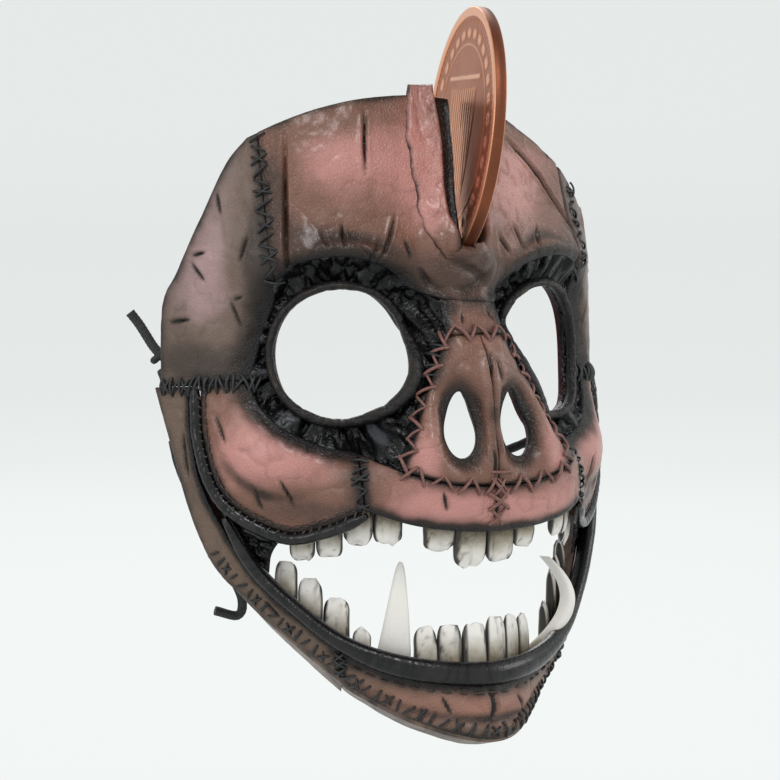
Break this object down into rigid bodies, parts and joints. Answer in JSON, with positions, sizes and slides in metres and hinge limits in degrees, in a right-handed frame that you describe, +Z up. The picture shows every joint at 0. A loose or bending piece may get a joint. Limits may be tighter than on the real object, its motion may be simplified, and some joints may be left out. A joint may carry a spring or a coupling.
{
  "type": "monster face mask",
  "caption": "Full-face hand-sewn leather monster mask with a pig-like nose, leather teeth and tusks, cord ties and a large coin in a forehead slot.",
  "frame": {"origin": "midway between the two eye holes, in the middle of the wearer's head space", "axes": "the mask faces -Y, +X is the wearer's left, +Z is up"},
  "size_m": [0.1593, 0.0949, 0.222],
  "materials": {
    "pink_leather": "hand-painted dusty pink, satin, darkened at the edges",
    "mauve_leather": "hand-painted mauve brown, satin",
    "brown_leather": "hand-painted brown, satin",
    "black_leather": "black, glossy, pleated",
    "bone_leather": "painted bone white with darker roots",
    "copper": "copper, polished relief",
    "black_elastic": "matt black round elastic"
  },
  "bodies": {
    "mask": {"forehead_panel": "pink_leather", "nose_bridge_panel": "pink_leather", "nose_panel": "pink_leather", "muzzle_panel": "pink_leather", "cheek_panel_right": "pink_leather", "cheek_panel_left": "pink_leather", "slot_lip_right": "pink_leather", "slot_lip_left": "pink_leather", "temple_panel_right": "mauve_leather", "temple_panel_left": "mauve_leather", "chin_panel": "brown_leather", "under_chin_strip": "brown_leather", "jaw_panel_right": "brown_leather", "jaw_panel_left": "brown_leather", "under_jaw_strip_right": "brown_leather", "under_jaw_strip_left": "brown_leather", "eye_rim_right": "brown_leather", "eye_rim_left": "brown_leather", "lower_lip_band": "black_leather", "eye_socket_right": "black_leather", "eye_socket_left": "black_leather", "cheek_trim_right": "black_leather", "cheek_trim_left": "black_leather", "mouth_corner_web_right": "black_leather", "mouth_corner_web_left": "black_leather", "upper_incisors": "bone_leather", "lower_incisors": "bone_leather", "upper_molars_right": "bone_leather", "upper_molars_left": "bone_leather", "lower_molars_right": "bone_leather", "lower_molars_left": "bone_leather", "lower_premolar_right": "bone_leather", "lower_premolar_left": "bone_leather", "tusk_right": "bone_leather", "tusk_left": "bone_leather", "elastic_cord_upper": "black_elastic", "elastic_cord_lower": "black_elastic", "upper_cord_knot_right": "black_elastic", "upper_cord_knot_left": "black_elastic", "upper_cord_tail_right": "black_elastic", "upper_cord_tail_left": "black_elastic", "lower_cord_knot_right": "black_elastic", "lower_cord_knot_left": "black_elastic", "lower_cord_tail_right": "black_elastic", "lower_cord_tail_left": "black_elastic"},
    "coin": {"coin": "copper"}
  },
  "joints": [
    {"name": "coin_slide", "type": "slide", "parent": "mask", "child": "coin", "axis": [-0.219, -0.9045, 0.366], "range_m": [0, 0.03]}
  ]
}
